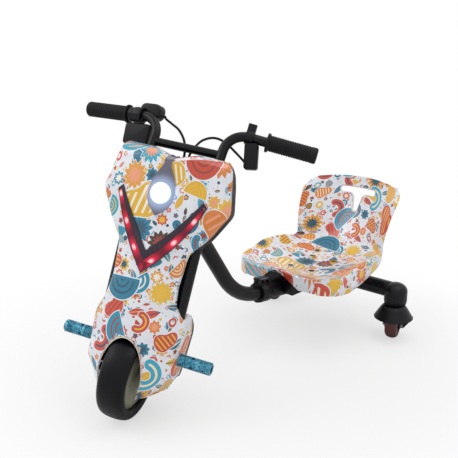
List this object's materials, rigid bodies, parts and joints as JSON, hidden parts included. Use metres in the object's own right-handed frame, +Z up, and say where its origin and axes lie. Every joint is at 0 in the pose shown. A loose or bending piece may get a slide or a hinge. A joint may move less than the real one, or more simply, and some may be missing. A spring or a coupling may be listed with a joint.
{
  "type": "electric drift tricycle",
  "caption": "Child's electric drift tricycle: driven front wheel in a raked fork with a printed cover, telescoping tube frame, bucket seat and swivel casters.",
  "frame": {"origin": "middle of the bounding box, on the ground", "axes": "+Z up, the tricycle faces -Y and its left side is +X; the front wheel is turned to the left as pictured"},
  "size_m": [0.5456, 0.9928, 0.6543],
  "materials": {
    "shell": "white plastic with a printed film of small coloured motifs under gloss",
    "black_plastic": "moulded black plastic, lightly textured",
    "black_paint": "satin black powder coat on welded steel",
    "grip_rubber": "soft black rubber, fine ribs",
    "tyre": "smooth black tyre rubber, worn satin",
    "steel": "zinc-plated steel",
    "hub": "cast alloy, grey-olive",
    "peg": "blue anodised and knurled",
    "caster_tread": "dark red hard plastic wheel",
    "bezel": "purple-grey gloss plastic",
    "lamp": "clear lens, lit white",
    "led_red": "clear red strip lit from behind",
    "led_dark": "dark purple gloss plastic",
    "board": "green circuit board",
    "reflector": "bright metallised cup",
    "case_metal": "plain aluminium case",
    "red_button": "moulded red plastic"
  },
  "bodies": {
    "front_frame": {"main_frame": "black_paint", "bearing_lower": "steel", "bearing_upper": "steel"},
    "rear_frame": {"rear_frame": "black_paint", "clamp_collar": "black_paint", "clamp_bolt_front": "steel", "clamp_bolt_rear": "steel", "seat_bracket": "black_paint", "seat_shell": "shell", "seat_bolt_1": "steel", "seat_bolt_2": "steel", "seat_bolt_3": "steel", "seat_bolt_4": "steel", "caster_bearing_left": "steel", "caster_bearing_right": "steel"},
    "caster_left": {"caster_hood_left": "black_plastic", "caster_axle_left": "steel"},
    "caster_right": {"caster_hood_right": "black_plastic", "caster_axle_right": "steel"},
    "caster_wheel_left": {"caster_wheel_left": "caster_tread"},
    "caster_wheel_right": {"caster_wheel_right": "caster_tread"},
    "front_wheel": {"front_tyre": "tyre", "hub_motor": "hub"},
    "thumb_throttle": {"thumb_throttle": "black_plastic"},
    "power_button": {"power_button": "red_button"},
    "horn_button": {"horn_button": "red_button"},
    "light_switch": {"light_switch": "black_plastic"},
    "steering": {"fork": "black_paint", "handlebar": "black_paint", "steerer_nut": "steel", "grip_left": "grip_rubber", "grip_right": "grip_rubber", "throttle_housing": "black_plastic", "control_box": "black_plastic", "switch_pod": "black_plastic", "pod_clamp": "black_plastic", "front_cover": "shell", "back_cover": "black_plastic", "shroud_back": "black_plastic", "headlight_bezel": "bezel", "headlight_lens": "lamp", "headlight_reflector": "reflector", "led_bezel": "led_dark", "led_lens": "led_red", "led_board": "board", "battery_pack": "black_plastic", "controller": "case_metal", "peg_left": "peg", "peg_right": "peg", "peg_bolt_left": "steel", "peg_bolt_right": "steel", "throttle_cable": "grip_rubber", "switch_cable": "grip_rubber", "motor_axle": "steel", "axle_nut_left": "steel", "axle_nut_right": "steel"}
  },
  "joints": [
    {"name": "steering", "type": "hinge", "parent": "front_frame", "child": "steering", "pos_m": [0.00896, -0.27434, 0.45293], "axis": [0, 0.3502, 0.9367], "range_deg": [-69.8, 20.2]},
    {"name": "front_wheel_spin", "type": "hinge", "parent": "steering", "child": "front_wheel", "pos_m": [0.00712, -0.40328, 0.09665], "axis": [0.9078, 0.3929, -0.1469], "continuous": true},
    {"name": "length_adjust", "type": "slide", "parent": "front_frame", "child": "rear_frame", "axis": [0, 0.9945, -0.1045], "range_m": [0, 0.06]},
    {"name": "caster_swivel_left", "type": "hinge", "parent": "rear_frame", "child": "caster_left", "pos_m": [0.21796, 0.35858, 0.12], "axis": [0, 0, 1], "continuous": true},
    {"name": "caster_wheel_spin_left", "type": "hinge", "parent": "caster_left", "child": "caster_wheel_left", "pos_m": [0.22194, 0.3462, 0.038], "axis": [-0.9521, -0.3057, 0], "continuous": true},
    {"name": "caster_swivel_right", "type": "hinge", "parent": "rear_frame", "child": "caster_right", "pos_m": [-0.20004, 0.35858, 0.12], "axis": [0, 0, 1], "continuous": true},
    {"name": "caster_wheel_spin_right", "type": "hinge", "parent": "caster_right", "child": "caster_wheel_right", "pos_m": [-0.19606, 0.3462, 0.038], "axis": [-0.9521, -0.3057, 0], "continuous": true},
    {"name": "thumb_throttle", "type": "hinge", "parent": "steering", "child": "thumb_throttle", "pos_m": [-0.15205, -0.23235, 0.62886], "axis": [-0.9594, -0.2768, 0.0538], "range_deg": [0, 30], "stiffness_Nm_per_rad": 0.5},
    {"name": "power_button", "type": "slide", "parent": "steering", "child": "power_button", "axis": [0.2784, -0.8996, 0.3364], "range_m": [0, 0.002], "stiffness_N_per_m": 600},
    {"name": "horn_button", "type": "slide", "parent": "steering", "child": "horn_button", "axis": [0.551, -0.7817, 0.2923], "range_m": [0, 0.0015], "stiffness_N_per_m": 600},
    {"name": "light_switch", "type": "hinge", "parent": "steering", "child": "light_switch", "pos_m": [0.11439, -0.12799, 0.53636], "axis": [0.821, 0.5705, -0.0218], "range_deg": [0, 12]}
  ]
}
